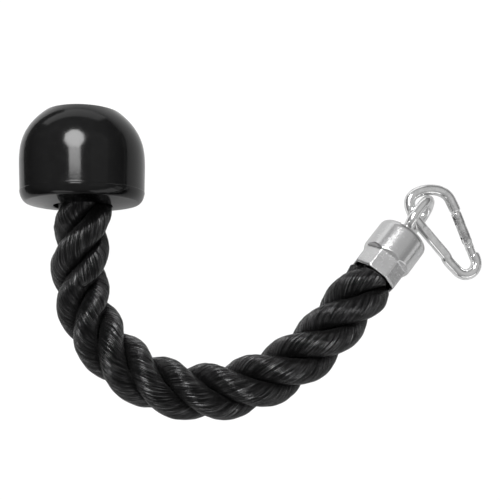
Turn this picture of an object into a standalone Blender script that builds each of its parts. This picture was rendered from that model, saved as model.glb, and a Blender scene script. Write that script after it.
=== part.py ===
"""A triceps rope attachment for a cable machine, lying on a flat surface at z = 0.

A rubber ball and a crimped steel cap hold the two ends of a thick rope. A swivel eye stands out of the
cap, and a snap hook hangs in the eye. Metres, +Z up. The origin is under the middle of the box round
everything but the rope.
"""
import math

import bmesh
import bpy
from mathutils import Matrix, Vector

# Gaps between pieces that touch on the real object
SEAT_GAP = 0.0003
PIN_GAP = 0.00015
CUT_OVERRUN = 0.002

# Rubber ball: a dome with a flat top, bored for the rope, hollow over the bore
BALL_RADIUS = 0.0327
BALL_HEIGHT = 0.0482
BALL_TOP_RADIUS = 0.0200
BALL_SIDE_SHARE = 0.415
BALL_RIM_RADIUS = 0.0301
BALL_RIM_HEIGHT = 0.0052
BALL_UNDERSIDE_DROP = 0.0018
BALL_MOUTH_FILLET = 0.0010
BALL_DOME_POWER = 2.75
BALL_SHOULDER_SHARE = 0.413
BALL_CEILING_SHARE = 0.838
BALL_CAVITY_RADIUS = 0.0193
PLUG_RADIUS = 0.0160
PLUG_CHAMFER = 0.0008
PLUG_RECESS = 0.0005
BALL_SIDES = 48

# What holds the rope in the ball
STOP_WASHER_RADIUS = 0.0188
STOP_WASHER_THICKNESS = 0.0020
FERRULE_WALL = 0.0018
FERRULE_SHARE = 0.585
BALL_TAPE_SHARE = 0.146
TAPE_THICKNESS = 0.0006

# Rope
ROPE_RADIUS = 0.0150
ROPE_SQUEEZE = 0.0010
ROPE_LEAD = 0.0100
ROPE_STEP = 0.0080
ROPE_SIDES_STEP = 4
ROPE_ROUTE = [
    (-0.0942, -0.0277, 0.0264),
    (-0.0951, -0.0447, 0.0185),
    (-0.0897, -0.0622, 0.0152),
    (-0.0795, -0.0777, 0.0150),
    (-0.0655, -0.0899, 0.0150),
    (-0.0503, -0.0974, 0.0150),
    (-0.0323, -0.1007, 0.0150),
    (-0.0139, -0.0995, 0.0150),
    (0.0042, -0.0936, 0.0150),
    (0.0198, -0.0849, 0.0150),
    (0.0338, -0.0736, 0.0150),
    (0.0465, -0.0593, 0.0154),
]

# Crimped steel cap
CAP_RADIUS = 0.0142
CAP_LENGTH = 0.0310
CAP_WALL = 0.0015
CAP_END_WALL = 0.0020
CAP_EDGE_RADIUS = 0.0035
CAP_MOUTH_LIFT = 0.0008
CRIMP_FLATS = 8
CRIMP_ACROSS_FLATS = 0.0250
CRIMP_SHARE = 0.3613
CRIMP_SLOPE = 0.9
CAP_SIDES_PER_FLAT = 8
CAP_TAPE_SHARE = 0.78
ROPE_SHANK_CLEARANCE = 0.0024

# Swivel eye
EYE_WIRE_RADIUS = 0.00275
EYE_WIDTH = 0.0205
EYE_LENGTH = 0.0272
SHANK_RADIUS = 0.0030
SHANK_END_CLEARANCE = 0.0005
EYE_WASHER_RADIUS = 0.0075
EYE_WASHER_THICKNESS = 0.0012
NUT_ACROSS_FLATS = 0.0100
NUT_HEIGHT = 0.0048
NUT_CHAMFER = 0.0006
EYE_TURN_DEG = -17.0

# Snap hook
HOOK_WIRE_RADIUS = 0.0030
BIG_BOW_RADIUS = 0.0116
BIG_BOW_DRAW_SHARE = 0.09
BIG_BOW_LEAN_SHARE = 0.36
SMALL_BOW_RADIUS = 0.0065
BOW_SPACING = 0.0355
NOSE_FLARE = 0.0012
NOSE_STRAIGHT = 0.0012
SPINE_JOG = 0.0004
SPINE_JOG_RUN = 0.0030
PRESS_SHARE = 0.90
PRESS_START = 0.0028
PRESS_LENGTH = 0.0235
PRESS_RUNOUT = 0.0010
HOOK_PLAY = 0.0022
HOOK_HEADING_DEG = -57.2
HINGE_SETBACK = 0.0108
HINGE_NECK_LENGTH = 0.0076
HINGE_NECK_RADIUS = 0.0023
HINGE_INSET = 0.0005

# Gate of the snap hook
GATE_RADIUS = 0.00275
GATE_REACH = 0.0170
GATE_CHAMFER = 0.0003
NOSE_GAP = 0.0005
TONGUE_THICKNESS = 0.0024
TONGUE_WIDTH = 0.0044
NOSE_TONGUE_LENGTH = 0.0056
HINGE_TONGUE_END = 0.0020
TONGUE_ROOT = 0.0015
TONGUE_CORNER_SHARE = 0.2
NOSE_TIP_SHARE = 0.7
NOSE_BASE_SHARE = 0.6
NOSE_CUT_SHARE = 0.4
LATCH_PIN_RADIUS = 0.0008
LATCH_PIN_SETBACK = 0.0024
LATCH_NOTCH_PLAY = 0.00025
RIVET_RADIUS = 0.0010
RIVET_HEAD_RADIUS = 0.0013
RIVET_HEAD_HEIGHT = 0.0003
SPRING_BORE_RADIUS = 0.0013
SPRING_BORE_WALL = 0.0006
PLUNGER_RADIUS = 0.0011
PLUNGER_SHARE = 0.42
PLUNGER_CHAMFER = 0.0003
SPRING_WIRE_RADIUS = 0.00017
SPRING_TURNS = 5
SPRING_RADIUS = 0.00095

# Where the ball and the cap lie, seen from above
BALL_MOUTH_X = -0.09220
BALL_MOUTH_Y = -0.00305
BALL_HEADING_DEG = 2.5
BALL_DIP_DEG = 8.6
CAP_MOUTH_X = 0.06220
CAP_MOUTH_Y = -0.03965
CAP_HEADING_DEG = 51.5

# Finishes: colour, roughness, metallic
RUBBER = ("black_rubber", (0.012, 0.012, 0.013), 0.25, 0.0)
PLASTIC = ("black_plastic", (0.016, 0.016, 0.017), 0.40, 0.0)
FIBRE = ("black_rope_fibre", (0.014, 0.014, 0.015), 0.55, 0.0)
TAPE = ("black_tape", (0.020, 0.020, 0.022), 0.35, 0.0)
ZINC = ("zinc_plated_steel", (0.72, 0.73, 0.74), 0.28, 1.0)
CRIMP_STEEL = ("satin_steel", (0.68, 0.69, 0.70), 0.35, 1.0)
SPRING_STEEL = ("spring_steel", (0.45, 0.45, 0.46), 0.40, 1.0)

QUARTER = math.pi / 2
TURN = 2 * math.pi
SMOOTH_LIMIT = math.radians(32)


def clear_scene():
    for obj in list(bpy.context.scene.objects):
        bpy.data.objects.remove(obj, do_unlink=True)


def material(finish):
    """A plain Principled material, made once for each finish."""
    name, colour, roughness, metallic = finish
    if name in bpy.data.materials:
        return bpy.data.materials[name]
    made = bpy.data.materials.new(name)
    made.use_nodes = True
    shader = made.node_tree.nodes["Principled BSDF"]
    shader.inputs["Base Color"].default_value = (*colour, 1.0)
    shader.inputs["Roughness"].default_value = roughness
    shader.inputs["Metallic"].default_value = metallic
    return made


def frame(name, place, turn, parent=None):
    """An empty whose local axes carry the pieces of one group."""
    empty = bpy.data.objects.new(name, None)
    empty.matrix_local = Matrix.Translation(place) @ turn.to_4x4()
    bpy.context.scene.collection.objects.link(empty)
    if parent:
        empty.parent = parent
        empty.matrix_parent_inverse = Matrix.Identity(4)
    return empty


def mesh_object(name, vertices, faces, finish, parent, local=None):
    """A smooth-shaded closed mesh in its parent's axes, with its faces turned outwards."""
    mesh = bpy.data.meshes.new(name)
    mesh.from_pydata(vertices, [], faces)
    shaper = bmesh.new()
    shaper.from_mesh(mesh)
    bmesh.ops.recalc_face_normals(shaper, faces=shaper.faces)
    shaper.to_mesh(mesh)
    shaper.free()
    mesh.shade_smooth()
    mesh.set_sharp_from_angle(angle=SMOOTH_LIMIT)
    mesh.materials.append(material(finish))
    obj = bpy.data.objects.new(name, mesh)
    bpy.context.scene.collection.objects.link(obj)
    obj.parent = parent
    obj.matrix_local = local if local else Matrix.Identity(4)
    return obj


def grid_faces(rows, sides, closed):
    """Quads between neighbouring rings of equal count, the last ring joined to the first if closed."""
    faces = []
    for row in range(rows if closed else rows - 1):
        following = (row + 1) % rows
        for side in range(sides):
            beside = (side + 1) % sides
            faces.append((row * sides + side, row * sides + beside,
                          following * sides + beside, following * sides + side))
    return faces


def turned(name, outline, sides, finish, parent, local=None):
    """A solid turned about Z. An outline that starts and ends on the axis is solid, else it is a ring."""
    solid = outline[0][0] == 0
    rings = outline[1:-1] if solid else outline
    vertices = []
    for radius, height in rings:
        for side in range(sides):
            angle = TURN * side / sides
            vertices.append((radius * math.cos(angle), radius * math.sin(angle), height))
    faces = grid_faces(len(rings), sides, not solid)
    if solid:
        first, last = len(vertices), len(vertices) + 1
        vertices += [(0, 0, outline[0][1]), (0, 0, outline[-1][1])]
        top = (len(rings) - 1) * sides
        for side in range(sides):
            beside = (side + 1) % sides
            faces.append((first, beside, side))
            faces.append((last, top + side, top + beside))
    return mesh_object(name, vertices, faces, finish, parent, local)


def swept(name, rings, finish, parent, closed=False, local=None):
    """A solid through rings of equal count, with flat caps unless the last ring meets the first."""
    sides = len(rings[0])
    vertices = [point for ring in rings for point in ring]
    faces = grid_faces(len(rings), sides, closed)
    if not closed:
        faces.append(tuple(range(sides)))
        faces.append(tuple((len(rings) - 1) * sides + side for side in range(sides)))
    return mesh_object(name, vertices, faces, finish, parent, local)


def wire_rings(points, radius, sides, closed=False, press=None):
    """Round sections square to a flat path in XY. A press share below 1 flattens a section's four sides."""
    rings = []
    count = len(points)
    for index, point in enumerate(points):
        before = points[index - 1] if index or closed else point
        after = points[(index + 1) % count] if index + 1 < count or closed else point
        across = (after - before).cross(Vector((0, 0, 1))).normalized()
        reach = radius * (press[index] if press else 1.0)
        ring = []
        for side in range(sides):
            angle = TURN * side / sides
            sideways = max(-reach, min(reach, radius * math.cos(angle)))
            upwards = max(-reach, min(reach, radius * math.sin(angle)))
            ring.append(point + across * sideways + Vector((0, 0, upwards)))
        rings.append(ring)
    return rings


def prism(name, outline, bottom, top, finish, parent):
    """A flat outline in XY, raised from bottom to top."""
    rings = [[Vector((x, y, height)) for x, y in outline] for height in (bottom, top)]
    return swept(name, rings, finish, parent)


def box_tool(name, low, high, parent):
    outline = [(low[0], low[1]), (high[0], low[1]), (high[0], high[1]), (low[0], high[1])]
    return prism(name, outline, low[2], high[2], ZINC, parent)


def rod(name, radius, low, high, sides, finish, parent, local=None, chamfer=0):
    """A round rod along Z with chamfered ends."""
    outline = [(0, low), (radius - chamfer, low), (radius, low + chamfer),
               (radius, high - chamfer), (radius - chamfer, high), (0, high)]
    if not chamfer:
        outline = [(0, low), (radius, low), (radius, high), (0, high)]
    return turned(name, outline, sides, finish, parent, local)


def tube(name, inner, outer, low, high, sides, finish, parent):
    outline = [(inner, low), (outer, low), (outer, high), (inner, high)]
    return turned(name, outline, sides, finish, parent)


def apply_tool(target, tool, operation):
    """Joins the tool to the target, or cuts it away. The tool itself stays hidden."""
    tool.hide_render = True
    tool.display_type = "WIRE"
    change = target.modifiers.new(tool.name, "BOOLEAN")
    change.operation = operation
    change.solver = "EXACT"
    change.object = tool


def arc(centre, radius, start, end, steps):
    """Points on a circle in XY from one angle to another."""
    points = []
    for step in range(steps + 1):
        angle = start + (end - start) * step / steps
        points.append(centre + radius * Vector((math.cos(angle), math.sin(angle), 0)))
    return points


def lying(dip, heading):
    """A turn that lays local Z flat along a heading, with its far end lowered by the dip."""
    return Matrix.Rotation(heading - QUARTER, 3, "Z") @ Matrix.Rotation(-QUARTER - dip, 3, "X")


def ball_cavity():
    """Heights of the shoulder that the stop sits on, and of the ceiling under the plug."""
    return BALL_HEIGHT * BALL_SHOULDER_SHARE, BALL_HEIGHT * BALL_CEILING_SHARE


def ball_profile():
    """The ball's skin from the bore's mouth, round the rim and over the dome, to the flat top's hole."""
    bore = ROPE_RADIUS + SEAT_GAP
    hole = PLUG_RADIUS + SEAT_GAP
    skin = [(bore, BALL_MOUTH_FILLET - BALL_UNDERSIDE_DROP),
            (bore + BALL_MOUTH_FILLET, -BALL_UNDERSIDE_DROP),
            (BALL_RIM_RADIUS, 0),
            (BALL_RADIUS, BALL_RIM_HEIGHT)]
    steps = 14
    side_height = BALL_HEIGHT * BALL_SIDE_SHARE
    for step in range(steps + 1):
        share = step / steps
        height = side_height + share * (BALL_HEIGHT - side_height)
        radius = BALL_RADIUS - (BALL_RADIUS - BALL_TOP_RADIUS) * share ** BALL_DOME_POWER
        skin.append((radius, height))
    shoulder, ceiling = ball_cavity()
    inside = [(hole, BALL_HEIGHT), (hole, ceiling), (BALL_CAVITY_RADIUS, ceiling),
              (BALL_CAVITY_RADIUS, shoulder), (bore, shoulder)]
    return skin + inside


def make_ball():
    """The ball on its side, resting on its lowest skin point, with the rope's end and stop inside."""
    dip = math.radians(BALL_DIP_DEG)
    height = max(radius * math.cos(dip) - reach * math.sin(dip) for radius, reach in ball_profile())
    heading = QUARTER + math.radians(BALL_HEADING_DEG)
    ball = frame("ball_frame", (BALL_MOUTH_X, BALL_MOUTH_Y, height), lying(-dip, heading))
    turned("ball_stopper", ball_profile(), BALL_SIDES, RUBBER, ball)

    shoulder, ceiling = ball_cavity()
    rod("ball_plug", PLUG_RADIUS, ceiling + SEAT_GAP, BALL_HEIGHT - PLUG_RECESS, BALL_SIDES, PLASTIC, ball,
        chamfer=PLUG_CHAMFER)

    washer_bottom = shoulder + SEAT_GAP
    washer_top = washer_bottom + STOP_WASHER_THICKNESS
    tube("stop_washer", ROPE_RADIUS + SEAT_GAP, STOP_WASHER_RADIUS, washer_bottom, washer_top,
         BALL_SIDES, ZINC, ball)

    squeezed = ROPE_RADIUS - ROPE_SQUEEZE
    ferrule_bottom = washer_top + SEAT_GAP
    ferrule_top = ferrule_bottom + FERRULE_SHARE * (ceiling - shoulder)
    ferrule_inner = squeezed + SEAT_GAP
    tube("stop_ferrule", ferrule_inner, ferrule_inner + FERRULE_WALL, ferrule_bottom, ferrule_top,
         BALL_SIDES, ZINC, ball)

    tape_bottom = ferrule_top + SEAT_GAP
    tape_top = tape_bottom + BALL_TAPE_SHARE * (ceiling - shoulder)
    tube("rope_tape_ball", ferrule_inner, ferrule_inner + TAPE_THICKNESS, tape_bottom, tape_top,
         BALL_SIDES, TAPE, ball)

    mouth = -BALL_UNDERSIDE_DROP
    rope_end = [(0, mouth), (ROPE_RADIUS, mouth), (ROPE_RADIUS, ferrule_bottom - ROPE_SQUEEZE),
                (squeezed, ferrule_bottom), (squeezed, tape_top), (0, tape_top)]
    turned("rope_ball_end", rope_end, BALL_SIDES, FIBRE, ball)
    return ball


def shank_depth():
    """How far the eye's shank reaches into the cap, from the end's outer face."""
    washer_and_nut = EYE_WASHER_THICKNESS + NUT_HEIGHT + 2 * SEAT_GAP
    return CAP_END_WALL + washer_and_nut + SHANK_END_CLEARANCE


def crimp_radius(height, angle, inset):
    """Radius of the cap's skin: round, cut by the crimp's flats, which run out at a slope behind it.

    The inset is how far the skin lies inside the outer one.
    """
    edge_start = CAP_LENGTH - CAP_EDGE_RADIUS
    over = max(0.0, min(1.0, (height - edge_start) / CAP_EDGE_RADIUS))
    round_radius = CAP_RADIUS - inset
    if not inset:
        round_radius -= CAP_EDGE_RADIUS * (1 - math.sqrt(1 - over * over))
    flat_turn = TURN / CRIMP_FLATS
    from_flat = (angle + flat_turn / 2) % flat_turn - flat_turn / 2
    flat = CRIMP_ACROSS_FLATS / 2 - inset + max(0.0, height - CAP_LENGTH * CRIMP_SHARE) * CRIMP_SLOPE
    return min(round_radius, flat / math.cos(from_flat))


def make_cap(cap):
    """The cap: a deep cup with a hole in its end, its skirt squeezed on the rope to eight flats."""
    sides = CRIMP_FLATS * CAP_SIDES_PER_FLAT
    crimp = CAP_LENGTH * CRIMP_SHARE
    ramp = (CAP_RADIUS - CRIMP_ACROSS_FLATS / 2) / CRIMP_SLOPE
    ramp_steps = 6
    edge_steps = 5
    heights = [0, crimp / 2]
    heights += [crimp + ramp * step / ramp_steps for step in range(ramp_steps + 1)]
    for step in range(edge_steps + 1):
        lean = QUARTER * step / edge_steps
        heights.append(CAP_LENGTH - CAP_EDGE_RADIUS * (1 - math.sin(lean)))

    def skin_ring(height, inset):
        ring = []
        for side in range(sides):
            angle = TURN * side / sides
            radius = crimp_radius(height, angle, inset)
            ring.append(Vector((radius * math.cos(angle), radius * math.sin(angle), height)))
        return ring

    def hole_ring(height):
        return [Vector(((SHANK_RADIUS + PIN_GAP) * math.cos(TURN * side / sides),
                        (SHANK_RADIUS + PIN_GAP) * math.sin(TURN * side / sides), height))
                for side in range(sides)]

    ceiling = CAP_LENGTH - CAP_END_WALL
    inner_heights = [ceiling, crimp + ramp, crimp + ramp / 2, crimp, 0]
    rings = [skin_ring(height, 0) for height in heights]
    rings += [hole_ring(CAP_LENGTH), hole_ring(ceiling)]
    rings += [skin_ring(height, CAP_WALL) for height in inner_heights]
    swept("end_cap", rings, CRIMP_STEEL, cap, closed=True)

    narrow = CRIMP_ACROSS_FLATS / 2 - CAP_WALL - SEAT_GAP
    tape_outer = CAP_RADIUS - CAP_WALL - SEAT_GAP
    wide = tape_outer - TAPE_THICKNESS - SEAT_GAP
    neck_top = crimp + ramp
    rope_top = CAP_LENGTH - shank_depth() - ROPE_SHANK_CLEARANCE
    rope_end = [(0, 0), (narrow, 0), (narrow, crimp), (wide, neck_top), (wide, rope_top), (0, rope_top)]
    turned("rope_cap_end", rope_end, BALL_SIDES, FIBRE, cap)
    tape_bottom = rope_top - CAP_TAPE_SHARE * (rope_top - neck_top)
    tube("rope_tape_cap", wide + SEAT_GAP, tape_outer, tape_bottom, rope_top, BALL_SIDES, TAPE, cap)


def eye_route():
    """The eye's oblong centreline in XY, its long axis along +X from the cap's end face."""
    bend = EYE_WIDTH / 2 - EYE_WIRE_RADIUS
    near = Vector((SEAT_GAP + EYE_WIRE_RADIUS + bend, 0, 0))
    far = Vector((EYE_LENGTH - EYE_WIRE_RADIUS - bend, 0, 0))
    steps = 14
    return arc(far, bend, -QUARTER, QUARTER, steps) + arc(near, bend, QUARTER, 3 * QUARTER, steps)


def make_eye(eye):
    """The swivel eye, its shank through the cap's end, and the washer and nut that hold it inside."""
    flat_to_axis = Matrix.Rotation(-QUARTER, 4, "Y")
    rings = wire_rings(eye_route(), EYE_WIRE_RADIUS, 14, closed=True)
    ring = swept("eye_bolt", rings, ZINC, eye, closed=True, local=flat_to_axis)

    washer_top = -CAP_END_WALL - SEAT_GAP
    washer_bottom = washer_top - EYE_WASHER_THICKNESS
    nut_top = washer_bottom - SEAT_GAP
    nut_bottom = nut_top - NUT_HEIGHT
    shank = rod("eye_shank_tool", SHANK_RADIUS, -shank_depth(), SEAT_GAP + EYE_WIRE_RADIUS, 24, ZINC, eye)
    apply_tool(ring, shank, "UNION")

    hole = SHANK_RADIUS + PIN_GAP
    tube("eye_washer", hole, EYE_WASHER_RADIUS, washer_bottom, washer_top, 24, ZINC, eye)

    corner = NUT_ACROSS_FLATS / 2 / math.cos(math.pi / 6)
    sides = 24
    rings = []
    for radius, height in ((hole, nut_bottom), (NUT_ACROSS_FLATS / 2, nut_bottom),
                           (corner, nut_bottom + NUT_CHAMFER), (corner, nut_top - NUT_CHAMFER),
                           (NUT_ACROSS_FLATS / 2, nut_top), (hole, nut_top)):
        ring = []
        for side in range(sides):
            angle = TURN * side / sides
            from_flat = (angle + math.pi / 6) % (math.pi / 3) - math.pi / 6
            reach = min(radius, NUT_ACROSS_FLATS / 2 / math.cos(from_flat)) if radius > hole else hole
            ring.append(Vector((reach * math.cos(angle), reach * math.sin(angle), height)))
        rings.append(ring)
    swept("eye_nut", rings, ZINC, eye, closed=True)


def hook_sizes():
    """The lean of the hook's straight sides, and the length from one bow's tangent to the other's."""
    lean = math.asin((BIG_BOW_RADIUS - SMALL_BOW_RADIUS) / BOW_SPACING)
    return lean, BOW_SPACING * math.cos(lean)


def hook_route():
    """The hook's centreline from its nose, round the big bow, down the spine and round the small bow.

    The big bow is a circle drawn out a little at the top and leaning over to the spine's side. With each
    point comes its press share: 1 where the wire is round, less along the pressed spine.
    """
    lean, straight = hook_sizes()
    big = Vector((0, 0, 0))
    small = Vector((BOW_SPACING, 0, 0))
    outward = Vector((math.sin(lean), math.cos(lean), 0))
    along = Vector((math.cos(lean), -math.sin(lean), 0))
    nose_length = straight - HINGE_SETBACK - GATE_REACH - NOSE_GAP
    stub_length = HINGE_SETBACK - HINGE_NECK_LENGTH
    tangent = QUARTER - lean

    nose = big + (BIG_BOW_RADIUS + NOSE_FLARE) * outward + nose_length * along
    route = [nose, nose - NOSE_STRAIGHT * along]
    for point in arc(big, BIG_BOW_RADIUS, tangent, TURN - tangent, 26):
        beyond = max(0.0, -point.x)
        route.append(point - Vector((BIG_BOW_DRAW_SHARE * beyond,
                                     BIG_BOW_LEAN_SHARE * beyond ** 2 / BIG_BOW_RADIUS, 0)))
    press = [1.0] * len(route)

    spine_start = route[-1]
    spine = Vector((along.x, -along.y, 0))
    aside = Vector((outward.x, -outward.y, 0))
    press_end = PRESS_START + PRESS_LENGTH
    for distance, share, jog in ((PRESS_START, 1.0, 0), (PRESS_START + PRESS_RUNOUT, PRESS_SHARE, 0),
                                 (press_end - PRESS_RUNOUT, PRESS_SHARE, -SPINE_JOG),
                                 (press_end, 1.0, SPINE_JOG), (press_end + SPINE_JOG_RUN, 1.0, SPINE_JOG)):
        route.append(spine_start + distance * spine + jog * aside)
        press.append(share)

    foot = arc(small, SMALL_BOW_RADIUS, -tangent, tangent, 16)
    foot.append(foot[-1] - stub_length * along)
    return route + foot, press + [1.0] * len(foot)


def nose_tongue_outline():
    """The nose's flat tongue in the gate's axes, notched from inside for the latch pin."""
    half = TONGUE_WIDTH / 2
    tip = GATE_REACH - NOSE_TONGUE_LENGTH
    root = GATE_REACH + NOSE_GAP + TONGUE_ROOT
    pin = Vector((GATE_REACH - LATCH_PIN_SETBACK, 0, 0))
    notch = LATCH_PIN_RADIUS + LATCH_NOTCH_PLAY
    floor = [(point.x, point.y) for point in arc(pin, notch, 0, -math.pi, 8)]
    return [(root, -half), (root, half), (pin.x + notch, half)] + floor + [
        (pin.x - notch, half * NOSE_TIP_SHARE), (tip, half * NOSE_TIP_SHARE),
        (tip, -half * NOSE_BASE_SHARE), (tip + half * NOSE_CUT_SHARE, -half)]


def make_hook(hook, gate_line):
    """The hook's bent wire, with a flat tongue at its nose and another at its hinge."""
    points, press = hook_route()
    body = swept("hook_body", wire_rings(points, HOOK_WIRE_RADIUS, 16, press=press), ZINC, hook)

    half = TONGUE_THICKNESS / 2
    nose = prism("nose_tongue_tool", nose_tongue_outline(), -half, half, ZINC, gate_line)
    apply_tool(body, nose, "UNION")

    along_gate = Matrix.Rotation(QUARTER, 4, "Y")
    neck_end = -GATE_RADIUS - NOSE_GAP
    neck = rod("hinge_neck_tool", HINGE_NECK_RADIUS, -HINGE_NECK_LENGTH - TONGUE_ROOT, neck_end, 16,
               ZINC, gate_line, along_gate)
    apply_tool(body, neck, "UNION")

    side = TONGUE_WIDTH / 2
    corner = side * TONGUE_CORNER_SHARE
    root = neck_end - TONGUE_ROOT
    outline = [(root, -side), (HINGE_TONGUE_END - corner, -side), (HINGE_TONGUE_END, corner - side),
               (HINGE_TONGUE_END, side - corner), (HINGE_TONGUE_END - corner, side), (root, side)]
    tongue = prism("hinge_tongue_tool", outline, -half, half, ZINC, gate_line)
    apply_tool(body, tongue, "UNION")

    hole = rod("hinge_hole_tool", RIVET_RADIUS + PIN_GAP, -half - CUT_OVERRUN, half + CUT_OVERRUN, 16,
               ZINC, gate_line)
    apply_tool(body, hole, "DIFFERENCE")
    return body


def hinge_slot_root():
    """How far the gate's hinge slot reaches past the rivet: clear of the tongue's turning corners."""
    return math.hypot(HINGE_TONGUE_END, TONGUE_WIDTH / 2) + SEAT_GAP


def make_gate(gate_line):
    """The gate: a round bar forked at both ends and bored for its spring, with its rivet and pin."""
    along_gate = Matrix.Rotation(QUARTER, 4, "Y")
    outline = [(0, -GATE_RADIUS)]
    steps = 7
    for step in range(1, steps + 1):
        lean = QUARTER * step / steps
        outline.append((GATE_RADIUS * math.sin(lean), -GATE_RADIUS * math.cos(lean)))
    outline += [(GATE_RADIUS, GATE_REACH - GATE_CHAMFER), (GATE_RADIUS - GATE_CHAMFER, GATE_REACH),
                (0, GATE_REACH)]
    gate = turned("hook_gate", outline, 20, ZINC, gate_line, along_gate)

    slot = TONGUE_THICKNESS / 2 + SEAT_GAP
    side = GATE_RADIUS + CUT_OVERRUN
    nose_slot_start = GATE_REACH - NOSE_TONGUE_LENGTH - NOSE_GAP
    nose_slot = box_tool("nose_slot_tool", (nose_slot_start, -side, -slot),
                         (GATE_REACH + CUT_OVERRUN, side, slot), gate_line)
    apply_tool(gate, nose_slot, "DIFFERENCE")
    root = hinge_slot_root()
    bore_end = nose_slot_start - SPRING_BORE_WALL
    hinge_slot = box_tool("hinge_slot_tool", (-side, -side, -slot), (root, side, slot), gate_line)
    apply_tool(gate, hinge_slot, "DIFFERENCE")
    bore = rod("spring_bore_tool", SPRING_BORE_RADIUS, root - SEAT_GAP, bore_end, 16, ZINC, gate_line,
               along_gate)
    apply_tool(gate, bore, "DIFFERENCE")

    pin_place = Matrix.Translation((GATE_REACH - LATCH_PIN_SETBACK, 0, 0))
    holes = (("rivet_hole_tool", RIVET_RADIUS, Matrix.Identity(4)),
             ("latch_hole_tool", LATCH_PIN_RADIUS, pin_place))
    for name, radius, place in holes:
        hole = rod(name, radius + PIN_GAP, -side, side, 16, ZINC, gate_line, place)
        apply_tool(gate, hole, "DIFFERENCE")

    head_low = GATE_RADIUS + PIN_GAP
    head_high = head_low + RIVET_HEAD_HEIGHT
    crown = RIVET_HEAD_RADIUS - RIVET_HEAD_HEIGHT / 2
    rivet = [(0, -head_high), (crown, -head_high), (RIVET_HEAD_RADIUS, -head_low), (RIVET_RADIUS, -head_low),
             (RIVET_RADIUS, head_low), (RIVET_HEAD_RADIUS, head_low), (crown, head_high), (0, head_high)]
    turned("gate_rivet", rivet, 16, ZINC, gate_line)

    pin_half = math.sqrt(GATE_RADIUS ** 2 - LATCH_PIN_RADIUS ** 2)
    rod("latch_pin", LATCH_PIN_RADIUS, -pin_half, pin_half, 16, ZINC, gate_line, pin_place)

    plunger_front = HINGE_TONGUE_END + PIN_GAP
    plunger_back = plunger_front + PLUNGER_SHARE * (bore_end - plunger_front)
    rod("gate_plunger", PLUNGER_RADIUS, plunger_front, plunger_back, 16, ZINC, gate_line, along_gate,
        chamfer=PLUNGER_CHAMFER)
    make_spring(gate_line, plunger_back + PIN_GAP, bore_end - PIN_GAP)


def make_spring(gate_line, front, back):
    """The gate's coil spring, an open helix along the bore between the plunger and the bore's end."""
    start = front + SPRING_WIRE_RADIUS
    run = back - SPRING_WIRE_RADIUS - start
    steps = 10 * SPRING_TURNS
    sides = 6
    rings = []
    for step in range(steps + 1):
        angle = TURN * SPRING_TURNS * step / steps
        spoke = Vector((0, math.cos(angle), math.sin(angle)))
        tangent = Vector((run / (TURN * SPRING_TURNS), -SPRING_RADIUS * math.sin(angle),
                          SPRING_RADIUS * math.cos(angle))).normalized()
        beside = tangent.cross(spoke)
        centre = Vector((start + run * step / steps, 0, 0)) + SPRING_RADIUS * spoke
        rings.append([centre + SPRING_WIRE_RADIUS * (math.cos(TURN * side / sides) * spoke
                                                     + math.sin(TURN * side / sides) * beside)
                      for side in range(sides)])
    swept("gate_spring", rings, SPRING_STEEL, gate_line)
    gap = run / SPRING_TURNS - 2 * SPRING_WIRE_RADIUS
    print(f"gate spring: least gap between turns {gap * 1000:.2f} mm")


def smooth_route(points, leave, arrive, step):
    """Points about a step apart on the Catmull-Rom curve through the given points, and its length.

    The curve leaves the first point and arrives at the last one along the given directions.
    """
    first_run = (points[1] - points[0]).length
    last_run = (points[-1] - points[-2]).length
    padded = [points[1] - 2 * first_run * leave] + points + [points[-2] + 2 * last_run * arrive]
    fine = []
    samples = 40
    for index in range(1, len(padded) - 2):
        before, start, end, after = padded[index - 1:index + 3]
        for sample in range(samples):
            t = sample / samples
            fine.append(0.5 * (2 * start + (end - before) * t
                               + (2 * before - 5 * start + 4 * end - after) * t ** 2
                               + (3 * start - before - 3 * end + after) * t ** 3))
    fine.append(points[-1])
    run = [0.0]
    for start, end in zip(fine, fine[1:]):
        run.append(run[-1] + (end - start).length)
    count = max(2, round(run[-1] / step))
    spaced = []
    index = 0
    for number in range(count):
        target = run[-1] * number / count
        while run[index + 1] < target:
            index += 1
        share = (target - run[index]) / (run[index + 1] - run[index])
        spaced.append(fine[index].lerp(fine[index + 1], share))
    return spaced + [points[-1]], run[-1]


def make_rope(ball, cap):
    """The free rope: a plain round tube from the ball's mouth to the cap's mouth."""
    ball_axis = ball.matrix_world.to_3x3() @ Vector((0, 0, 1))
    cap_axis = cap.matrix_world.to_3x3() @ Vector((0, 0, 1))
    start = ball.matrix_world @ Vector((0, 0, -BALL_UNDERSIDE_DROP - SEAT_GAP))
    end = cap.matrix_world @ Vector((0, 0, -SEAT_GAP))
    points = [start - ROPE_LEAD * ball_axis] + [Vector(point) for point in ROPE_ROUTE]
    points += [end - ROPE_LEAD * cap_axis]
    bend, length = smooth_route(points, -ball_axis, cap_axis, ROPE_STEP)
    route = [start] + bend + [end]
    length += 2 * ROPE_LEAD

    curve = bpy.data.curves.new("rope", "CURVE")
    curve.dimensions = "3D"
    curve.bevel_depth = ROPE_RADIUS
    curve.bevel_resolution = ROPE_SIDES_STEP
    curve.use_fill_caps = True
    spline = curve.splines.new("POLY")
    spline.points.add(len(route) - 1)
    for knot, point in zip(spline.points, route):
        knot.co = (*point, 1.0)
    curve.materials.append(material(FIBRE))
    rope = bpy.data.objects.new("rope", curve)
    bpy.context.scene.collection.objects.link(rope)
    print(f"rope: {length * 1000:.1f} mm long, from {tuple(round(v, 5) for v in start)}"
          f" to {tuple(round(v, 5) for v in end)}")


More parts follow.
